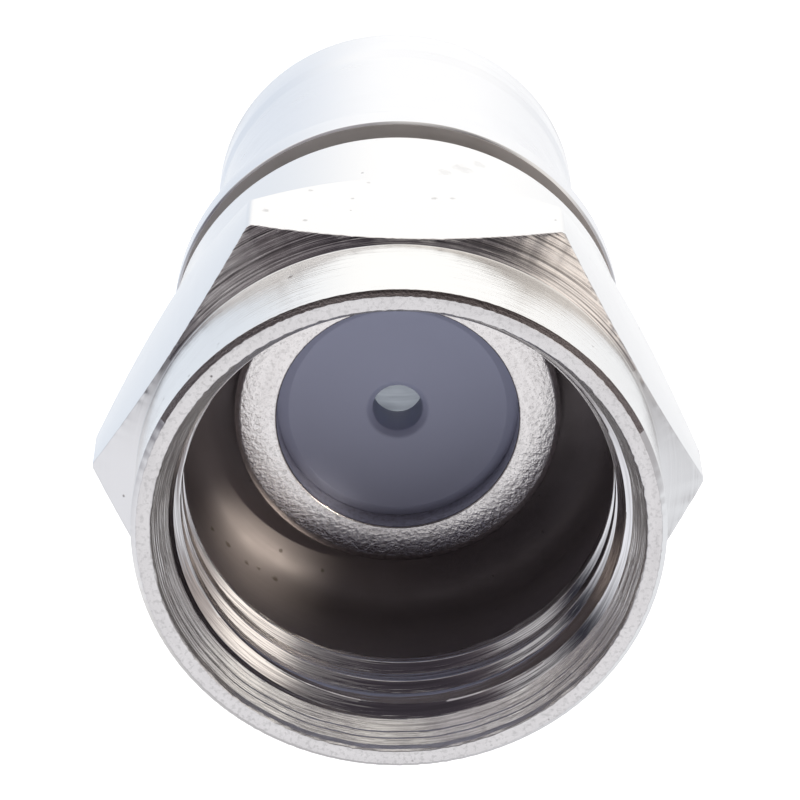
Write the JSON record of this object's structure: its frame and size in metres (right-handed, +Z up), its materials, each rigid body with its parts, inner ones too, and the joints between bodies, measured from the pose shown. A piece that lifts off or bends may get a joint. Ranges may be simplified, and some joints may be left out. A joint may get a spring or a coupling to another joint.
{
  "type": "coaxial f connector",
  "caption": "Crimp-on F connector for coaxial cable: hexagon coupling nut with an internal thread, free to spin on a flanged post with an insulator disc, and a plain crimping sleeve.",
  "frame": {"origin": "on the ground under the middle of the connector, which lies on one flat of its nut", "axes": "+Y along the connector's axis from the nut's open mouth to the cable end, +Z up, +X to the right seen from the mouth"},
  "size_m": [0.0128, 0.0174, 0.011],
  "materials": {
    "nut_plating": "bright nickel plate over turned brass",
    "post_plating": "matt nickel plate, finely pitted on the flange's face",
    "insulator_plastic": "smooth slate grey moulding",
    "barrel_plating": "bright nickel plate over turned brass"
  },
  "bodies": {
    "cable_side": {"post": "post_plating", "insulator": "insulator_plastic", "barrel": "barrel_plating"},
    "nut": {"coupling_nut": "nut_plating"}
  },
  "joints": [
    {"name": "nut_spin", "type": "hinge", "parent": "cable_side", "child": "nut", "pos_m": [0, 0, 0.0055], "axis": [0, 1, 0], "continuous": true}
  ]
}
